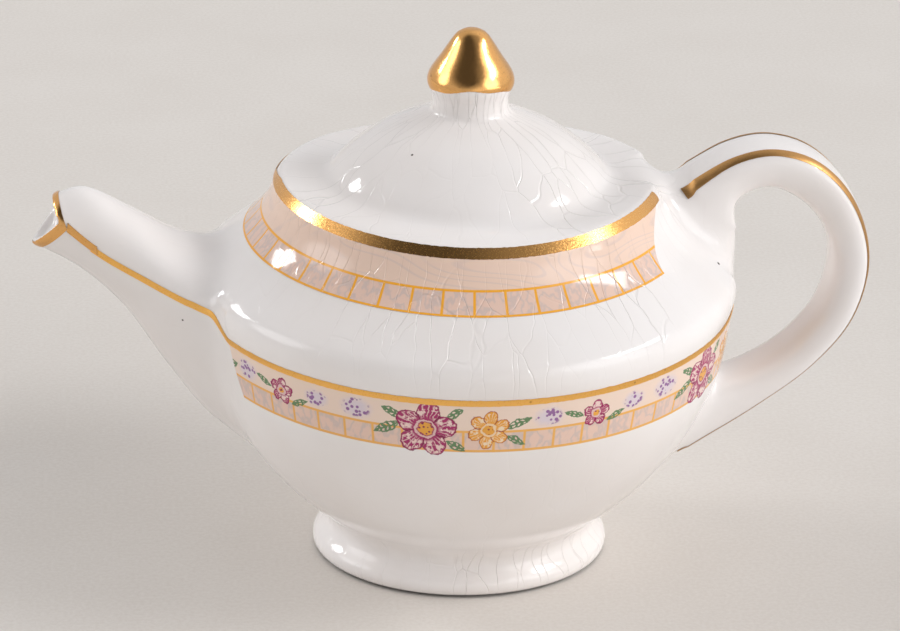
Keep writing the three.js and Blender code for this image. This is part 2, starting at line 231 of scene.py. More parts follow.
def strapPoint(along, across, through):
    outer, inner = [curveThrough(handle[k], along) for k in ("outer", "inner")]
    p = inner.lerp(outer, through)
    flare = handle["rootFlare"] * (2 * along - 1) ** handle["flareBend"]
    return Vector((p.x, across * (handle["halfWidth"] + flare), p.y))


def handleForm():
    def rule(u, w):
        across, through = curveThrough(handle["section"], u, closed=True)
        return strapPoint(w, across, through)
    return layTube(handle["ringSteps"], handle["stations"], rule)


# The glazed ware: the luted forms are run together under one coat of glaze, then parted at the joints again
glazeSkin = {
    "grain": 0.31,         # size of the skin's quads
    "flow": 5,             # rounds of smoothing all over
    # joints: lowest and highest, how far the slip was wiped smooth there, and for how many rounds
    "joints": {"spout": [(0, 50, 1.9, 55)], "handle": [(26, 50, 2.8, 110), (0, 26, 1.7, 55)]},
    "footJoint": (11.5, 3.0, 5.2, 5),   # radius, lowest and highest, and rounds
    "wipe": 0.5,
}


def newMesh(bm, name):
    mesh = bpy.data.meshes.new(name)
    bm.to_mesh(mesh)
    return mesh


def newObject(name, data):
    thing = bpy.data.objects.new(name, data)
    bpy.context.scene.collection.objects.link(thing)
    return thing


forms = {"turned": turnedForm(), "spout": spoutForm(), "handle": handleForm()}
formTrees = {name: BVHTree.FromBMesh(bm) for name, bm in forms.items()}
print("forms made", {name: len(bm.faces) for name, bm in forms.items()})


def wipeSmooth(bm, wet, rounds):
    for i in range(rounds):
        bmesh.ops.smooth_vert(bm, verts=wet, factor=glazeSkin["wipe"], use_axis_x=True, use_axis_y=True,
                              use_axis_z=True)


def runTogether():
    joined = bmesh.new()
    for name, bm in forms.items():
        joined.from_mesh(newMesh(bm, name))
    blank = newObject("blank", newMesh(joined, "blank"))
    remesh = blank.modifiers.new("skin", "REMESH")
    remesh.mode = "VOXEL"
    remesh.voxel_size = glazeSkin["grain"]
    smooth = blank.modifiers.new("flow", "SMOOTH")
    smooth.factor = glazeSkin["wipe"]
    smooth.iterations = glazeSkin["flow"]
    graph = bpy.context.evaluated_depsgraph_get()
    mesh = bpy.data.meshes.new_from_object(blank.evaluated_get(graph))
    bpy.data.objects.remove(blank)
    bm = bmesh.new()
    bm.from_mesh(mesh)
    spots = [(side, *spot) for side, found in glazeSkin["joints"].items() for spot in found]
    for side, low, high, reach, rounds in spots:
        wet = []
        for v in bm.verts:
            near = [formTrees[form].find_nearest(v.co, reach)[0] for form in ("turned", side)]
            if low <= v.co.z < high and None not in near:
                wet.append(v)
        wipeSmooth(bm, wet, rounds)
    inside, low, high, rounds = glazeSkin["footJoint"]
    wet = [v for v in bm.verts if low < v.co.z < high and math.hypot(v.co.x, v.co.y) > inside]
    wipeSmooth(bm, wet, rounds)
    bm.normal_update()
    return bm


skin = runTogether()
skin.faces.ensure_lookup_table()
skinTree = BVHTree.FromBMesh(skin)
print("skin run together,", len(skin.faces), "faces")

# Heights and radii at which the turned ware's own members part, and how far their edges turn in
partings = {"footTop": 3.6, "footInside": 10.5, "footEdge": 5.6, "lidRadius": 16.6, "lidFoot": 36.0,
            "knobFoot": 44.4, "knobReach": 5.0, "capDepth": 0.5}


def memberAt(p):
    side = "spout" if p.x < 0 else "handle"
    fromTurned = formTrees["turned"].find_nearest(p)[3]
    if formTrees[side].find_nearest(p)[3] < fromTurned:
        return side
    radius = math.hypot(p.x, p.y)
    if p.z < partings["footTop"] and radius > partings["footInside"]:
        return "foot_ring"
    if p.z > partings["knobFoot"] and radius < partings["knobReach"]:
        return "knob"
    if p.z > partings["lidFoot"] and radius < partings["lidRadius"]:
        return "lid"
    return "body"


def addPiece(name, mesh, material, node):
    piece = newObject(name, mesh)
    mesh.materials.append(material)
    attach(piece, "root")
    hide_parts(node)


# Puts a mesh in its place in the row frame, with the coat's own smooth normals
def finishPiece(bm, name, material, node, normals):
    coatNormals = [tuple(v[normals]) for v in bm.verts]
    bm.verts.layers.float_vector.remove(normals)
    for f in bm.faces:
        f.smooth = True
    for v in bm.verts:
        v.co = toRow(v.co)
    mesh = newMesh(bm, name)
    mesh.normals_split_custom_set_from_vertices(coatNormals)
    bm.free()
    print(name, len(mesh.polygons), "faces")
    addPiece(name + "_coat", mesh, material, node)


# Materials

def feed(tree, socket, value):
    if isinstance(value, bpy.types.NodeSocket):
        tree.links.new(value, socket)
    else:
        socket.default_value = value


def calc(tree, operation, *values):
    node = tree.nodes.new("ShaderNodeMath")
    node.operation = operation
    for socket, value in zip(node.inputs, values):
        feed(tree, socket, value)
    return node.outputs[0]


def vectorCalc(tree, operation, *values):
    node = tree.nodes.new("ShaderNodeVectorMath")
    node.operation = operation
    for socket, value in zip(node.inputs, values):
        feed(tree, socket, value)
    return node.outputs["Value" if operation in ("DOT_PRODUCT", "DISTANCE") else "Vector"]


def splitUp(tree, vector):
    node = tree.nodes.new("ShaderNodeSeparateXYZ")
    feed(tree, node.inputs[0], vector)
    return node.outputs[0], node.outputs[1], node.outputs[2]


def lengthOf(tree, x, y):
    return calc(tree, "SQRT", calc(tree, "ADD", calc(tree, "MULTIPLY", x, x), calc(tree, "MULTIPLY", y, y)))


def fromHalf(tree, value):
    return calc(tree, "ABSOLUTE", calc(tree, "SUBTRACT", value, 0.5))


# start below low, end above high, eased between
def ease(tree, value, low, high, start=0.0, end=1.0):
    node = tree.nodes.new("ShaderNodeMapRange")
    node.interpolation_type = "SMOOTHSTEP"
    for socket, x in zip(node.inputs, (value, low, high, start, end)):
        feed(tree, socket, x)
    return node.outputs[0]


# 1 below low, 0 above high
def fade(tree, value, low, high):
    return ease(tree, value, low, high, 1.0, 0.0)


def blend(tree, share, first, second):
    node = tree.nodes.new("ShaderNodeMix")
    node.data_type = "RGBA"
    feed(tree, node.inputs[0], share)
    feed(tree, node.inputs[6], first)
    feed(tree, node.inputs[7], second)
    return node.outputs[2]


# A colour as the eye sees it, 0 to 255
def tone(red, green, blue):
    line = [c / 255 for c in (red, green, blue)]
    return tuple(c / 12.92 if c <= 0.04045 else ((c + 0.055) / 1.055) ** 2.4 for c in line) + (1.0,)


def speckle(tree, place, scale, detail=2.0, roughness=0.5):
    node = tree.nodes.new("ShaderNodeTexNoise")
    feed(tree, node.inputs["Vector"], place)
    node.inputs["Scale"].default_value = scale
    node.inputs["Detail"].default_value = detail
    node.inputs["Roughness"].default_value = roughness
    return node.outputs["Fac"], node.outputs["Color"]


def cells(tree, place, scale, feature="DISTANCE_TO_EDGE"):
    node = tree.nodes.new("ShaderNodeTexVoronoi")
    node.feature = feature
    feed(tree, node.inputs["Vector"], place)
    node.inputs["Scale"].default_value = scale
    return node.outputs["Distance"]


def emboss(tree, shader, height, depth, strength):
    bump = tree.nodes.new("ShaderNodeBump")
    bump.inputs["Distance"].default_value = depth
    bump.inputs["Strength"].default_value = strength
    feed(tree, bump.inputs["Height"], height)
    feed(tree, shader.inputs["Normal"], bump.outputs["Normal"])


def newMaterial(name):
    material = bpy.data.materials.new(name)
    material.use_nodes = True
    tree = material.node_tree
    shader = tree.nodes["Principled BSDF"]
    place = tree.nodes.new("ShaderNodeTexCoord").outputs["Object"]
    return material, tree, shader, place


# Glaze, in metres as the pieces' own places are
glaze = {
    "white": tone(248, 244, 242),
    "cream": tone(243, 237, 233),
    "cloudScale": 55.0,
    "clouds": (0.35, 0.7),
    "crackStain": tone(186, 168, 156),
    "crackCells": 520.0,      # per metre
    "crackTall": 0.24,        # cells are drawn out upwards
    "crackLean": -0.8,        # and inwards over the shoulder and the lid
    # the ring round which the cells are counted, and what it gains in the zones above the gold lines
    "crackRings": {"foot": 0.013, "shoulder": 0.011, "lid": -0.014},
    "crackZones": [(0.0254, "shoulder"), (0.0366, "lid")],
    "crackWidth": 0.028,
    "crackStrength": 0.06,
    "crackDepth": 0.00004,
    "crackRoughness": 0.15,
    "swayScale": 160.0,
    "sway": 0.0016,           # how far the cracks wander
    "patchScale": 70.0,
    "patches": (0.38, 0.62, 0.15, 1.0),   # the crazing comes and goes
    # heights above and below which it shows in full, and how far out it calms down
    "shoulderFade": (0.0255, 0.028),
    "footFade": (0.0035, 0.006),
    "sideFade": (0.0165, 0.0215),
    "calmStrength": 0.12,     # on the bowl, the spout and the handle, where little of it shows
    "rippleScale": 420.0,
    "ripple": 0.12,
    "roughness": 0.07,
    # colour of the pinholes, also used for the foot's stained ground edge with its painted contact shade
    "speckAndShadeColour": tone(74, 62, 54),
    "speckCore": 0.4,
    # pinholes: place and size
    "specks": [((0.0244, -0.0054, 0.0306), 0.00023), ((-0.0045, -0.0062, 0.0419), 0.00016),
               ((-0.0254, -0.0068, 0.0262), 0.00014)],
    "groundStainAndShade": (0.0002, 0.0004),   # heights between which the foot's stained ground edge, with painted contact shade where it meets the floor, ends
}
middleGrey = (0.5, 0.5, 0.5)


def glazeColour(tree, place):
    cloud = ease(tree, speckle(tree, place, glaze["cloudScale"], 3.0)[0], *glaze["clouds"])
    return blend(tree, cloud, glaze["white"], glaze["cream"])


# Crazing and gloss of the glaze, which runs on over the prints too
def glazeCoat(tree, shader, place, colour):
    x, y, z = splitUp(tree, place)
    x = calc(tree, "SUBTRACT", x, axisShift * mm)
    radius = lengthOf(tree, x, y)
    ring = glaze["crackRings"]["foot"]
    for low, name in glaze["crackZones"]:
        above = calc(tree, "GREATER_THAN", z, low)
        ring = calc(tree, "ADD", ring, calc(tree, "MULTIPLY", above, glaze["crackRings"][name]))
    level = calc(tree, "MULTIPLY_ADD", radius, glaze["crackLean"], z)
    lines = tree.nodes.new("ShaderNodeCombineXYZ")
    for socket, side in zip(lines.inputs, (x, y)):
        feed(tree, socket, calc(tree, "MULTIPLY", calc(tree, "DIVIDE", side, radius), ring))
    feed(tree, lines.inputs[2], calc(tree, "MULTIPLY", level, glaze["crackTall"]))
    sway = vectorCalc(tree, "SUBTRACT", speckle(tree, place, glaze["swayScale"])[1], middleGrey)
    sway = vectorCalc(tree, "SCALE", sway)
    sway.node.inputs["Scale"].default_value = glaze["sway"]
    edge = cells(tree, vectorCalc(tree, "ADD", lines.outputs[0], sway), glaze["crackCells"])
    crack = fade(tree, edge, 0.0, glaze["crackWidth"])
    strength = ease(tree, speckle(tree, place, glaze["patchScale"])[0], *glaze["patches"])
    high = calc(tree, "MAXIMUM", ease(tree, z, *glaze["shoulderFade"]), fade(tree, z, *glaze["footFade"]))
    near = fade(tree, calc(tree, "ABSOLUTE", x), *glaze["sideFade"])
    shown = calc(tree, "MAXIMUM", calc(tree, "MULTIPLY", high, near), glaze["calmStrength"])
    crack = calc(tree, "MULTIPLY", calc(tree, "MULTIPLY", crack, strength), shown)
    stain = calc(tree, "MULTIPLY", crack, glaze["crackStrength"])
    feed(tree, shader.inputs["Base Color"], blend(tree, stain, colour, glaze["crackStain"]))
    ripple = calc(tree, "MULTIPLY", speckle(tree, place, glaze["rippleScale"])[0], glaze["ripple"])
    emboss(tree, shader, calc(tree, "SUBTRACT", ripple, crack), glaze["crackDepth"], 1.0)
    dull = calc(tree, "MULTIPLY", crack, glaze["crackRoughness"])
    feed(tree, shader.inputs["Roughness"], calc(tree, "ADD", dull, glaze["roughness"]))


def glazeMaterial():
    material, tree, shader, place = newMaterial("glaze")
    colour = glazeColour(tree, place)
    for spot, size in glaze["specks"]:
        away = vectorCalc(tree, "DISTANCE", place, spot)
        colour = blend(tree, fade(tree, away, size * glaze["speckCore"], size), colour, glaze["speckAndShadeColour"])
    # the foot's ground edge is darkened: partly a real stain, partly painted contact shade where the foot
    # meets the floor
    stainAndContactShade = fade(tree, splitUp(tree, place)[2], *glaze["groundStainAndShade"])
    colour = blend(tree, stainAndContactShade, colour, glaze["speckAndShadeColour"])
    glazeCoat(tree, shader, place, colour)
    return material


gold = {
    "grain": 6500.0,
    "grainSpan": (0.35, 0.7),
    "grainShade": (0.55, 0.8, 0.0, 0.5),
    "grainShare": 0.5,
    "pitScale": 1300.0,
    "pits": (0.08, 0.2),
    "wearScale": 380.0,
    "wear": (0.52, 0.66),
    "strength": 0.5,
    # bright and deep colour, least and most roughness, depth of the grain; smooth on the knob and the lip,
    # burnished on the rim and the spout's tip, worn on the strap and matt on the other lines
    "smooth": (tone(240, 182, 112), tone(160, 108, 58), 0.1, 0.24, 0.000008),
    "burnished": (tone(238, 180, 108), tone(150, 102, 54), 0.12, 0.3, 0.000034),
    "worn": (tone(204, 156, 98), tone(124, 88, 48), 0.34, 0.5, 0.00003),
    "matt": (tone(255, 198, 108), tone(196, 132, 66), 0.34, 0.56, 0.00002),
}


def goldMaterial(name):
    material, tree, shader, place = newMaterial(name + "_gold")
    bright, deep, least, most, depth = gold[name]
    grain = speckle(tree, place, gold["grain"], 3.0, 0.6)[0]
    wear = ease(tree, speckle(tree, place, gold["wearScale"], 3.0)[0], *gold["wear"])
    pits = fade(tree, cells(tree, place, gold["pitScale"], "F1"), *gold["pits"])
    rub = calc(tree, "MULTIPLY", pits, wear)
    shade = calc(tree, "MAXIMUM", rub, ease(tree, grain, *gold["grainShade"]))
    feed(tree, shader.inputs["Base Color"], blend(tree, shade, bright, deep))
    feed(tree, shader.inputs["Roughness"], ease(tree, grain, *gold["grainSpan"], least, most))
    shader.inputs["Metallic"].default_value = 1.0
    height = calc(tree, "SUBTRACT", calc(tree, "MULTIPLY", grain, gold["grainShare"]), rub)
    emboss(tree, shader, height, depth, gold["strength"])
    return material


# Prints: the band's own UV map holds millimetres along it and up it
def bandPlace(tree):
    node = tree.nodes.new("ShaderNodeUVMap")
    node.uv_map = "band"
    return node.outputs[0], *splitUp(tree, node.outputs[0])[:2]


tiles = {
    "pitch": 2.74,
    "line": 0.24,
    "lineFade": (0.35, 0.65),     # shares of a line's width between which its ink fades
    "base": 0.14,                 # height of the lowest line
    "orange": tone(250, 178, 60),
    "ground": tone(237, 205, 188),
    "vein": tone(206, 190, 186),
    "veinStretch": (1.0, 0.6, 1.0),
    "veinScale": 0.9,
    "veins": (0.0, 0.09, 0.6, 0.0),
}


# A drawn line, from the distance to its middle
def inked(tree, away, width):
    low, high = tiles["lineFade"]
    return fade(tree, away, width * low, width * high)


def ruled(tree, value, at, width):
    return inked(tree, calc(tree, "ABSOLUTE", calc(tree, "SUBTRACT", value, at)), width)


# A row of ruled tiles up to a height, with veins in them; returns its colour, where it is and its lines
def tileRow(tree, flat, along, up, top, phase):
    step = calc(tree, "FRACT", calc(tree, "DIVIDE", calc(tree, "ADD", along, phase), tiles["pitch"]))
    fromLine = calc(tree, "MULTIPLY", calc(tree, "SUBTRACT", 0.5, fromHalf(tree, step)), tiles["pitch"])
    row = calc(tree, "LESS_THAN", up, top)
    lines = calc(tree, "MULTIPLY", inked(tree, fromLine, tiles["line"]), row)
    for height in (top, tiles["base"]):
        lines = calc(tree, "MAXIMUM", lines, ruled(tree, up, height, tiles["line"]))
    streaked = vectorCalc(tree, "MULTIPLY", flat, tiles["veinStretch"])
    veins = fromHalf(tree, speckle(tree, streaked, tiles["veinScale"])[0])
    ground = blend(tree, ease(tree, veins, *tiles["veins"]), tiles["ground"], tiles["vein"])
    return ground, row, lines


collarBand = {
    "peach": tone(243, 214, 195),
    "scroll": tone(222, 200, 192),
    "tileTop": 2.75,
    # faint scrolls: their level lines, and where they break off
    "stretch": (0.3, 1.0, 1.0),
    "curlScale": 0.3,
    "curlBend": 0.35,
    "curls": 10.0,
    "curlEdge": (0.04, 0.18, 0.5, 0.0),
    "breakScale": 0.4,
    "breaks": (0.36, 0.55),
}


def collarMaterial(length):
    material, tree, shader, place = newMaterial("collar_print")
    flat, along, up = bandPlace(tree)
    fromCut = calc(tree, "SUBTRACT", length - tiles["line"] / 2, along)
    ground, row, lines = tileRow(tree, flat, fromCut, up, collarBand["tileTop"], 0.0)
    stretched = vectorCalc(tree, "MULTIPLY", flat, collarBand["stretch"])
    curl = speckle(tree, stretched, collarBand["curlScale"], 0.0)[0]
    curl.node.inputs["Distortion"].default_value = collarBand["curlBend"]
    scroll = fromHalf(tree, calc(tree, "FRACT", calc(tree, "MULTIPLY", curl, collarBand["curls"])))
    broken = ease(tree, speckle(tree, stretched, collarBand["breakScale"], 1.0)[0], *collarBand["breaks"])
    scroll = calc(tree, "MULTIPLY", ease(tree, scroll, *collarBand["curlEdge"]), broken)
    peach = blend(tree, scroll, collarBand["peach"], collarBand["scroll"])
    colour = blend(tree, row, peach, ground)
    colour = blend(tree, lines, colour, tiles["orange"])
    glazeCoat(tree, shader, place, colour)
    return material


waistBand = {
    "peach": tone(244, 220, 203),
    "line": tone(244, 184, 98),
    "tileTop": 2.1,
    "phase": 1.3,
    "film": 1.1,              # clear film below the band, under the blossoms that overhang it
    "period": 30.0,           # one spray and the next
    "start": 19.0,
    "shake": 0.55,
    "shakeScale": 1.6,
    # ink, outline and the bare ground that shows through it
    "rose": (tone(172, 48, 102), tone(138, 28, 76), tone(242, 214, 206)),
    "amber": (tone(238, 166, 66), tone(176, 84, 52), tone(248, 224, 192)),
    "heart": tone(238, 170, 70),
    "leaf": tone(104, 136, 94),
    "violet": tone(152, 108, 158),
    "lilac": tone(218, 208, 224),
    # blossoms: place along and up, radius, petals, colour
    "blossoms": [(9.0, 2.2, 2.9, 5, "rose"), (14.6, 2.3, 2.0, 6, "amber"), (24.6, 2.9, 1.4, 5, "rose")],
    # their notches, heart, the ring round it and where the rays start, in shares of the radius
    "notch": 0.34,
    "heartEdge": (0.2, 0.26),
    "ringAt": 0.3,
    "rayStart": (0.36, 0.5),
    "rays": 6.0,              # to a petal
    "rayEdge": (0.4, 0.9, 0.0, 0.75),
    "rayEnd": (0.16, 0.28),
    "outline": (0.08, 0.17),
    "petalGap": (0.1, 0.2),
    "ringWidth": 0.2,
    "ringShare": 0.8,
    "wornScale": 1.5,
    "wornEdge": (0.5, 0.56),
    "seedScale": 3.2,
    "seedEdge": (0.25, 0.4),
    # leaves: place along and up, half length, half width, lean in degrees
    "leaves": [(5.5, 2.0, 1.5, 0.5, 28), (6.0, 3.6, 1.2, 0.42, -24), (11.6, 3.9, 1.0, 0.4, 35),
               (11.7, 0.6, 1.1, 0.42, -30), (17.2, 2.9, 1.4, 0.45, 22), (17.0, 1.2, 1.1, 0.4, -28),
               (22.4, 3.2, 1.1, 0.36, -20), (26.7, 2.3, 1.1, 0.36, 24)],
    "ribs": (13.0, 9.0, 0.1),     # how close they are, how far they slant and how broad the gaps are
    "leafEdge": (0.0, 0.07),
    "leafOutline": (0.13, 0.2),
    "midrib": (0.05, 0.11),
    # sprigs of tiny florets: place along and up, reach
    "sprigs": [(2.6, 3.4, 1.5), (20.0, 3.3, 1.4), (28.6, 3.3, 1.2)],
    "sprigFlat": 1.4,
    "haze": (0.4, 1.3, 0.7),      # shares of the reach, and strength
    "floretScale": 2.3,
    "floretEdge": (0.34, 0.46),
    "floretReach": 0.75,
}


def blossom(tree, flat, along, up, spec, colour):
    x, y, radius, petals, name = spec
    ink, deep, pale = waistBand[name]
    across = calc(tree, "SUBTRACT", along, x)
    rise = calc(tree, "SUBTRACT", up, y)
    away = lengthOf(tree, across, rise)
    angle = calc(tree, "ARCTAN2", rise, across)
    lobe = calc(tree, "ABSOLUTE", calc(tree, "COSINE", calc(tree, "MULTIPLY_ADD", angle, petals / 2, x)))
    notch = radius * waistBand["notch"]
    inside = calc(tree, "SUBTRACT", calc(tree, "MULTIPLY_ADD", lobe, notch, radius - notch), away)
    # fine pale rays and worn patches between a dark outline and the heart
    ray = calc(tree, "COSINE", calc(tree, "MULTIPLY", angle, petals * waistBand["rays"]))
    patch = ease(tree, speckle(tree, flat, waistBand["wornScale"], 3.0, 0.6)[0], *waistBand["wornEdge"])
    lit = calc(tree, "MAXIMUM", ease(tree, ray, *waistBand["rayEdge"]), patch)
    lit = calc(tree, "MULTIPLY", lit, ease(tree, away, *[radius * s for s in waistBand["rayStart"]]))
    lit = calc(tree, "MULTIPLY", lit, ease(tree, inside, *waistBand["rayEnd"]))
    paint = blend(tree, lit, ink, pale)
    gap = fade(tree, lobe, *waistBand["petalGap"])
    edge = calc(tree, "MAXIMUM", fade(tree, inside, *waistBand["outline"]), gap)
    paint = blend(tree, edge, paint, deep)
    heart = fade(tree, away, *[radius * s for s in waistBand["heartEdge"]])
    seeds = fade(tree, cells(tree, flat, waistBand["seedScale"], "F1"), *waistBand["seedEdge"])
    paint = blend(tree, heart, paint, blend(tree, seeds, waistBand["heart"], deep))
    ring = ruled(tree, away, radius * waistBand["ringAt"], waistBand["ringWidth"])
    paint = blend(tree, calc(tree, "MULTIPLY", ring, waistBand["ringShare"]), paint, pale)
    return blend(tree, ease(tree, inside, 0.0, waistBand["outline"][0]), colour, paint)


def leafSpray(tree, along, up, spec, colour):
    x, y, length, width, lean = spec
    c, s = math.cos(math.radians(lean)), math.sin(math.radians(lean))
    across = calc(tree, "SUBTRACT", along, x)
    rise = calc(tree, "SUBTRACT", up, y)
    long = calc(tree, "ADD", calc(tree, "MULTIPLY", across, c), calc(tree, "MULTIPLY", rise, s))
    wide = calc(tree, "SUBTRACT", calc(tree, "MULTIPLY", rise, c), calc(tree, "MULTIPLY", across, s))
    wide = calc(tree, "ABSOLUTE", wide)
    share = calc(tree, "DIVIDE", long, length)
    full = calc(tree, "MULTIPLY", calc(tree, "SUBTRACT", 1.0, calc(tree, "MULTIPLY", share, share)), width)
    inside = calc(tree, "SUBTRACT", full, wide)
    # the print leaves the leaf open between its outline and its midrib
    clear = ease(tree, wide, *waistBand["midrib"])
    bare = calc(tree, "MULTIPLY", ease(tree, inside, *waistBand["leafOutline"]), clear)
    close, slant, gap = waistBand["ribs"]
    wave = calc(tree, "MULTIPLY_ADD", long, close, calc(tree, "MULTIPLY", wide, slant))
    ribs = calc(tree, "GREATER_THAN", calc(tree, "SINE", wave), gap)
    inkLeft = calc(tree, "SUBTRACT", 1.0, calc(tree, "MULTIPLY", bare, ribs))
    blade = calc(tree, "MULTIPLY", ease(tree, inside, *waistBand["leafEdge"]), inkLeft)
    return blend(tree, blade, colour, waistBand["leaf"])


def sprig(tree, flat, along, up, spec, colour):
    x, y, reach = spec
    across = calc(tree, "SUBTRACT", along, x)
    rise = calc(tree, "MULTIPLY", calc(tree, "SUBTRACT", up, y), waistBand["sprigFlat"])
    away = lengthOf(tree, across, rise)
    near, far, strength = waistBand["haze"]
    haze = ease(tree, away, reach * near, reach * far, strength, 0.0)
    colour = blend(tree, haze, colour, waistBand["lilac"])
    dots = fade(tree, cells(tree, flat, waistBand["floretScale"], "F1"), *waistBand["floretEdge"])
    dots = calc(tree, "MULTIPLY", dots, fade(tree, away, reach * waistBand["floretReach"], reach))
    return blend(tree, dots, colour, waistBand["violet"])


def waistMaterial():
    material, tree, shader, place = newMaterial("waist_print")
    flat, along, up = bandPlace(tree)
    ground, row, lines = tileRow(tree, flat, along, up, waistBand["tileTop"], waistBand["phase"])
    colour = blend(tree, row, waistBand["peach"], ground)
    colour = blend(tree, lines, colour, waistBand["line"])
    colour = blend(tree, calc(tree, "LESS_THAN", up, 0.0), colour, glazeColour(tree, place))
    # the drawn lines are a little shaky, as in a print from an engraved plate
    shake = speckle(tree, flat, waistBand["shakeScale"], 4.0, 0.6)[1]
    aside, over = splitUp(tree, vectorCalc(tree, "SUBTRACT", shake, middleGrey))[:2]
    up = calc(tree, "MULTIPLY_ADD", over, waistBand["shake"], up)
    along = calc(tree, "MULTIPLY_ADD", aside, waistBand["shake"], along)
    turn = calc(tree, "MODULO", calc(tree, "ADD", along, waistBand["start"]), waistBand["period"])
    for spec in waistBand["sprigs"]:
        colour = sprig(tree, flat, turn, up, spec, colour)
    for spec in waistBand["leaves"]:
        colour = leafSpray(tree, turn, up, spec, colour)
    for spec in waistBand["blossoms"]:
        colour = blossom(tree, flat, turn, up, spec, colour)
    glazeCoat(tree, shader, place, colour)
    return material


ware = glazeMaterial()
gilts = {name: goldMaterial(name) for name in ("smooth", "burnished", "worn", "matt")}


# Parting of the skin into its members, each closed behind its joints
def partSkin():
    labels = [memberAt(f.calc_center_median()) for f in skin.faces]
    for member in ("body", "foot_ring", "spout", "handle", "lid", "knob"):
        bm = skin.copy()
        bm.faces.ensure_lookup_table()
        others = [f for f in bm.faces if labels[f.index] != member]
        normals = bm.verts.layers.float_vector.new("coatNormal")
        for v in bm.verts:
            v[normals] = v.normal
        bmesh.ops.delete(bm, geom=others, context="FACES")
        border = [e for e in bm.edges if e.is_boundary]
        grown = bmesh.ops.extrude_edge_only(bm, edges=border)["geom"]
        for v in grown:
            if isinstance(v, bmesh.types.BMVert):
                v.co -= v[normals] * partings["capDepth"]
        rim = [e for e in grown if isinstance(e, bmesh.types.BMEdge) and e.is_boundary]
        foot = [e for e in rim if e.verts[0].co.z < partings["footEdge"]]
        if foot:
            bmesh.ops.bridge_loops(bm, edges=foot)
        bmesh.ops.holes_fill(bm, edges=[e for e in rim if e.is_boundary], sides=0)
        bmesh.ops.triangulate(bm, faces=[f for f in bm.faces if len(f.verts) > 4])
        finishPiece(bm, member, ware, member, normals)


partSkin()

# Decoration, laid on the skin: how far a coat lies off it, how thick it is and how it thins to its edges
coats = {"lift": 0.02, "print": 0.03, "gold": 0.09, "tipGold": 0.144, "feather": 0.7, "featherBend": 4,
         "seekFrom": 2.5, "seekFor": 6.0, "cornerReach": 0.02}


# The skin at or under a place: looked for along the way out, or the nearest where there is none
def skinAt(p, out=None):
    hit = None
    if out:
        hit, normal, index, distance = skinTree.ray_cast(p + out * coats["seekFrom"], -out, coats["seekFor"])
    if hit is None:
        hit, normal, index, distance = skinTree.find_nearest(p)
    corners = skin.faces[index].verts
    shares = [1 / ((c.co - hit).length + coats["cornerReach"]) ** 2 for c in corners]
    smooth = sum((c.normal * s for c, s in zip(corners, shares)), Vector())
    return hit, smooth.normalized()


# A thin coat over the skin: rule gives a place near the skin and, if it may, the way out of it, and flat its
# place on the band
def layCoat(name, columns, rows, rule, thickness, material, flat=None, ring=False, crowned=False,
            keepWay=False):
    bm = bmesh.new()
    bmesh.ops.create_grid(bm, x_segments=columns, y_segments=rows, size=0.5)
    band = bm.loops.layers.uv.new("band")
    normals = bm.verts.layers.float_vector.new("coatNormal")
    crown = bm.verts.layers.float.new("coatCrown")
    shares = {v.index: (v.co.x + 0.5, v.co.y + 0.5) for v in bm.verts}
    for f in bm.faces:
        for corner in f.loops:
            share = shares[corner.vert.index]
            corner[band].uv = flat(*share) if flat else share
    for v in bm.verts:
        place = rule(*shares[v.index])
        hit, smooth = skinAt(*place)
        v.co = hit + smooth * coats["lift"]
        v[normals] = place[1] if keepWay else smooth
        fromMiddle = 2 * shares[v.index][1] - 1
        full = crowned and fromMiddle > 0
        v[crown] = 1 if full else 1 - coats["feather"] * fromMiddle ** coats["featherBend"]
    if ring:
        bmesh.ops.remove_doubles(bm, verts=bm.verts[:], dist=mergeWithin)
    under = bm.verts[:]
    grown = bmesh.ops.extrude_face_region(bm, geom=bm.faces[:], use_keep_orig=True)["geom"]
    for v in grown:
        if isinstance(v, bmesh.types.BMVert):
            v.co += v[normals] * thickness * v[crown]
    for v in under:
        v[normals] = -v[normals]
    bmesh.ops.recalc_face_normals(bm, faces=bm.faces[:])
    finishPiece(bm, name, material, name, normals)


decoration = {
    # bands: half the gap in degrees, how much of it closes towards the upper edge and how bowed that cut is
    "rimCut": 20, "waistCut": 26, "collarCut": 36.3, "collarSlant": (13.3, 2), "bandSlant": (4.5, 1),
    "goldWaver": 0.05, "waverScale": 60, "rimDrop": 0.12,
    "rimBackDrop": 0.8, "backFrom": 0.05, "backEase": 4,      # the rim's gold is narrower behind
    # spout: shares of its length, and half widths
    "lipEnd": 0.042, "lipBack": 0.02, "lipTurn": 0.2, "lipInside": 0.15,
    "tipEnd": 0.2, "tipLap": 0.03, "tipHalf": 0.43, "tipRise": 0.2,
    "ridgeEnd": 0.74, "ridgeHalf": 0.3, "ridgeSteps": 8, "pathStep": 0.004,
    "ridgeRun": 3,            # degrees that its path runs on along the waist line
    # strap: shares of its length and of its half width, and how the lines draw in on its lower part
    "strapFrom": 0.088, "strapTo": 0.94, "strapInside": 0.67, "strapOutside": 0.9,
    "strapDrift": 0.12, "driftFrom": 0.45, "driftOver": 0.3,
    "outlineSteps": 40, "slopeStep": 0.01,
}


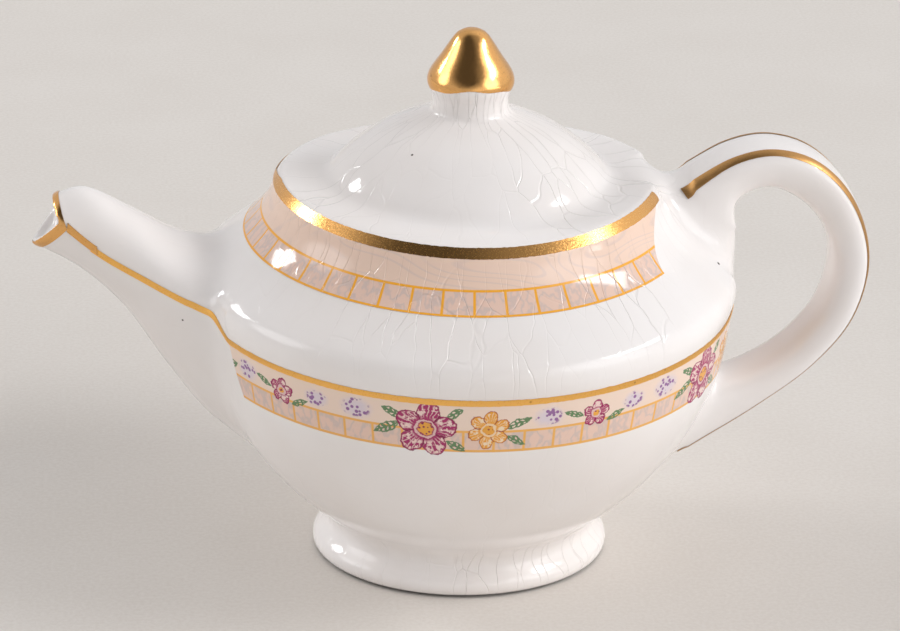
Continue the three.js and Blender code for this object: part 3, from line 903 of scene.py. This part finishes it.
# A strip round the turned ware along one stretch of its outline, cut open by so many degrees each side of a
# gap opposite to its middle; the cut may close by a slant towards its upper edge
def turnedStrip(stretch, cut, middle, sink=0.0, waver=0.0, short=0.0, slant=(0.0, 1), backShort=0.0):
    points = sample(bezier, turned[stretch], decoration["outlineSteps"])
    length = sum((b - a).length for a, b in zip(points, points[1:]))
    radius = sum(p.x for p in points) / len(points)
    lean, bow = slant

    def angleAt(u, w):
        half = 180 - cut + lean * w ** bow
        return middle + half * (2 * u - 1)

    def rule(u, w):
        angle = math.radians(angleAt(u, w))
        turn = Vector((math.cos(angle), math.sin(angle), 0))
        edge = noise.noise(turn * decoration["waverScale"] + Vector((0, 0, round(w)))) * waver
        behind = backShort * clamp((turn.y + decoration["backFrom"]) * decoration["backEase"])
        up = -sink + (length - short - behind + sink) * w + edge * (2 * w - 1)
        share = up / length
        here = bezier(turned[stretch], share)
        slope = (bezier(turned[stretch], share + decoration["slopeStep"]) - here).normalized()
        return settle(swung(turn, here)), swung(turn, (slope.y, -slope.x)).normalized()

    def flat(u, w):
        return math.radians(angleAt(u, w) - angleAt(0, 0)) * radius, -sink + (length - short + sink) * w
    return rule, flat


def layBands():
    drop, waver = decoration["rimDrop"], decoration["goldWaver"]
    rule, flat = turnedStrip("rim", decoration["rimCut"], 180, sink=drop, waver=waver, short=drop,
                             backShort=decoration["rimBackDrop"])
    layCoat("rim_gilding", 420, 6, rule, coats["gold"], gilts["burnished"], flat, keepWay=True)
    rule, flat = turnedStrip("collar", decoration["collarCut"], 180, slant=decoration["collarSlant"])
    collarPrint = collarMaterial(flat(1, 0)[0])
    layCoat("collar_transfer", 420, 18, rule, coats["print"], collarPrint, flat)
    rule, flat = turnedStrip("waist", decoration["waistCut"], 0, waver=waver)
    layCoat("waist_gilding", 480, 4, rule, coats["gold"], gilts["matt"], flat)
    rule, flat = turnedStrip("band", decoration["waistCut"] + decoration["bandSlant"][0], 0,
                             sink=waistBand["film"], slant=decoration["bandSlant"])
    layCoat("waist_transfer", 480, 20, rule, coats["print"], waistMaterial(), flat)


layBands()


# Gold along the spout's side ridges: the thick strip behind the lip, and the thin line that swings down into
# the waist line
def ridgeAt(side):
    return 0.25 if side > 0 else 0.75


def tipStrip(side):
    start, end, ridge = decoration["lipEnd"], decoration["tipEnd"], ridgeAt(side)
    step = decoration["slopeStep"] * side

    def rule(u, w):
        along = start + (end - start) * u
        here = spoutPoint(along, ridge)
        slope = (spoutPoint(along, ridge + step) - spoutPoint(along, ridge - step)).normalized()
        aside = decoration["tipHalf"] * (2 * w - 1) - decoration["tipRise"]
        return here + slope * aside, Vector((0, here.y, 0)).normalized()
    return rule


def swingLine(side):
    start, end = decoration["tipEnd"] - decoration["tipLap"], decoration["ridgeEnd"]
    steps = decoration["ridgeSteps"]
    path = [spoutPoint(start + (end - start) * i / steps, ridgeAt(side)) for i in range(steps + 1)]
    waist = bezier(turned["waist"], 0.5)
    for more in (0, decoration["ridgeRun"]):
        angle = math.radians(180 - (decoration["waistCut"] + more) * side)
        path.append(settle(swung(Vector((math.cos(angle), math.sin(angle), 0)), waist)))
    last = (len(path) - 2) / (len(path) - 1)

    def rule(u, w):
        here, ahead = [curveThrough(path, min(u * last + step, 1.0)) for step in (0, decoration["pathStep"])]
        hit, out = skinAt(here)
        aside = out.cross(ahead - here).normalized()
        return hit + aside * decoration["ridgeHalf"] * (2 * w - 1), out
    return rule


def strapLine(side):
    start, end = decoration["strapFrom"], decoration["strapTo"]
    inside, outside = decoration["strapInside"], decoration["strapOutside"]

    def rule(u, w):
        along = start + (end - start) * u
        low = clamp((along - decoration["driftFrom"]) / decoration["driftOver"])
        across = side * (inside + (outside - inside) * w - decoration["strapDrift"] * low)
        out = strapPoint(along, 0, 1) - strapPoint(along, 0, 0)
        return strapPoint(along, across, 1), out.normalized()
    return rule


def layLines():
    for side, label in ((-1, "front"), (1, "back")):
        layCoat("spout_tip_gilding_" + label, 24, 6, tipStrip(side), coats["tipGold"], gilts["burnished"])
        layCoat("spout_gilding_" + label, 130, 4, swingLine(side), coats["gold"], gilts["matt"])
        layCoat("handle_gilding_" + label, 260, 4, strapLine(side), coats["gold"], gilts["worn"])


# The lip's gold covers the rim of the mouth and turns down over its outside
def layLip():
    turnOver, end, back = decoration["lipTurn"], decoration["lipEnd"], decoration["lipBack"]
    inside = spout["lip"] * decoration["lipInside"]

    def rule(u, w):
        far = max(math.sin(u * math.tau), 0.0)
        start = back * far
        if w < turnOver:
            return (spoutPoint(start, u, inside * (1 - w / turnOver) * (1 - far)),)
        return (spoutPoint(start + (end - start) * (w - turnOver) / (1 - turnOver), u),)
    layCoat("spout_lip_gilding", 160, 8, rule, coats["gold"], gilts["smooth"], ring=True)


layLines()
layLip()

# The knob's gold cap, brushed on to an uneven edge: its height in front, at the sides and behind, and the
# count and start of its waves
knobCap = {"front": 47.0, "side": 46.42, "back": 46.7, "wave": 0.07, "waves": [(3, 0), (7, 1)], "steps": 200}


def layCap():
    acorn, step = turned["acorn"], decoration["slopeStep"]
    outline = sample(curveThrough, acorn, knobCap["steps"])

    def rule(u, w):
        angle = u * math.tau
        turn = Vector((math.cos(angle), math.sin(angle), 0))
        tilt = knobCap["front"] if turn.y < 0 else knobCap["back"]
        edge = knobCap["side"] + (tilt - knobCap["side"]) * turn.y ** 2
        edge += knobCap["wave"] * sum(math.sin(count * angle + start) for count, start in knobCap["waves"])
        first = next(i for i, p in enumerate(outline) if p.y >= edge) / knobCap["steps"]
        share = first + (1 - first) * w
        slope = curveThrough(acorn, share + step) - curveThrough(acorn, share - step)
        return swung(turn, curveThrough(acorn, share)), swung(turn, (slope.y, -slope.x)).normalized()
    layCoat("knob_gilding", 120, 48, rule, coats["gold"], gilts["smooth"], ring=True, crowned=True)


layCap()
print("decoration laid")


# The way towards a bearing from the front and a height, both in degrees
def wayTo(bearing, rise):
    a, e = math.radians(bearing), math.radians(rise)
    return Vector((math.sin(a) * math.cos(e), -math.cos(a) * math.cos(e), math.sin(e)))


# Camera: the photograph's viewing angle
camera = {"elevation": 22.0, "azimuth": -6.0, "distance": 350.0, "roll": 1.5, "focalPixels": 3710.0,
          "aim": (0.0, 0.0, 25.0), "aimPixel": (15.0, -14.8), "imageWidth": 900, "sensor": 36.0}


def addCamera():
    data = bpy.data.cameras.new("camera")
    eye = newObject("camera", data)
    roll = math.radians(camera["roll"])
    back = wayTo(camera["azimuth"], camera["elevation"])
    right = wayTo(camera["azimuth"] + 90, 0)
    up = back.cross(right)
    place = eye.matrix_world.to_3x3()
    place.col[0] = right * math.cos(roll) + up * math.sin(roll)
    place.col[1] = up * math.cos(roll) - right * math.sin(roll)
    place.col[2] = back
    eye.matrix_world = place.to_4x4()
    eye.location = toRow(Vector(camera["aim"])) + back * camera["distance"] * mm
    data.sensor_width = camera["sensor"]
    data.lens = camera["focalPixels"] / camera["imageWidth"] * camera["sensor"]
    data.shift_x = -camera["aimPixel"][0] / camera["imageWidth"]
    data.shift_y = camera["aimPixel"][1] / camera["imageWidth"]
    data.clip_start = 0.01
    bpy.context.scene.camera = eye


addCamera()

studio = {
    "floor": tone(228, 223, 217),
    "floorShade": tone(221, 215, 208),
    "floorSize": 4.0,
    "floorRoughness": 0.8,
    # the paper's grain and clouds: scale, detail, roughness and share
    "paper": [(2400.0, 2.0, 0.6, 0.7), (60.0, 3.0, 0.5, 0.3)],
    "paperSpan": (0.3, 0.7),
    "sky": (0.99, 0.985, 1.0, 1.0),
    "skyLevel": 0.635,
    # pale walls left and right, and the dark behind and above the camera: bearing from the front, height and
    # reach in degrees, and what they add to the sky
    "walls": [(-91, 24, 19, 2.7), (54, 24, 25, 2.0), (95, 45, 60, 0.25), (-6, 61, 58, -0.55),
              (35, 4, 45, 0.4)],
    "wallCore": 0.45,         # share of the reach that is at full level
    "darkest": 0.07,
    # softboxes: bearing, height, distance, width and height in millimetres, watts, and the share of their
    # half width at which they start to fade
    "lights": [(-121, 27, 1200, 300, 190, 3.0, 0.8), (78, 38, 1200, 700, 220, 6.9, 0.5),
               (69, 4, 1200, 260, 80, 0.3, 0.4)],
}


def addFloor():
    floor = bmesh.new()
    bmesh.ops.create_grid(floor, x_segments=2, y_segments=2, size=studio["floorSize"])
    mesh = newMesh(floor, "floor")
    plane = newObject("floor", mesh)
    material, tree, shader, place = newMaterial("floor_paper")
    shade = 0.0
    for scale, detail, roughness, part in studio["paper"]:
        grain = speckle(tree, place, scale, detail, roughness)[0]
        shade = calc(tree, "MULTIPLY_ADD", grain, part, shade)
    shade = ease(tree, shade, *studio["paperSpan"])
    feed(tree, shader.inputs["Base Color"], blend(tree, shade, studio["floor"], studio["floorShade"]))
    shader.inputs["Roughness"].default_value = studio["floorRoughness"]
    mesh.materials.append(material)


def addSky():
    world = bpy.data.worlds.new("studio")
    world.use_nodes = True
    tree = world.node_tree
    way = tree.nodes.new("ShaderNodeTexCoord").outputs["Generated"]
    level = studio["skyLevel"]
    for bearing, rise, reach, more in studio["walls"]:
        toward = vectorCalc(tree, "DOT_PRODUCT", way, tuple(wayTo(bearing, rise)))
        edge, full = [math.cos(math.radians(reach * part)) for part in (1, studio["wallCore"])]
        level = calc(tree, "ADD", level, ease(tree, toward, edge, full, 0.0, more))
    backdrop = tree.nodes["Background"]
    backdrop.inputs[0].default_value = studio["sky"]
    feed(tree, backdrop.inputs[1], calc(tree, "MAXIMUM", level, studio["darkest"]))
    bpy.context.scene.world = world


def addLights():
    middle = toRow(Vector(camera["aim"]))
    for bearing, rise, distance, width, height, watts, start in studio["lights"]:
        data = bpy.data.lights.new("softbox", "AREA")
        data.shape = "RECTANGLE"
        data.size, data.size_y = width * mm, height * mm
        data.energy = watts
        data.use_nodes = True
        tree = data.node_tree
        across = tree.nodes.new("ShaderNodeNewGeometry").outputs["Parametric"]
        aside, over = [fromHalf(tree, side) for side in splitUp(tree, across)[:2]]
        edge = calc(tree, "MULTIPLY", calc(tree, "MAXIMUM", aside, over), 2.0)
        feed(tree, tree.nodes["Emission"].inputs["Strength"], fade(tree, edge, start, 1.0))
        lamp = newObject("softbox", data)
        way = wayTo(bearing, rise)
        lamp.location = middle + way * distance * mm
        lamp.rotation_euler = (-way).to_track_quat("-Z", "Y").to_euler()


addFloor()
addSky()
addLights()
bpy.context.scene.view_settings.view_transform = "Standard"
print("studio set")
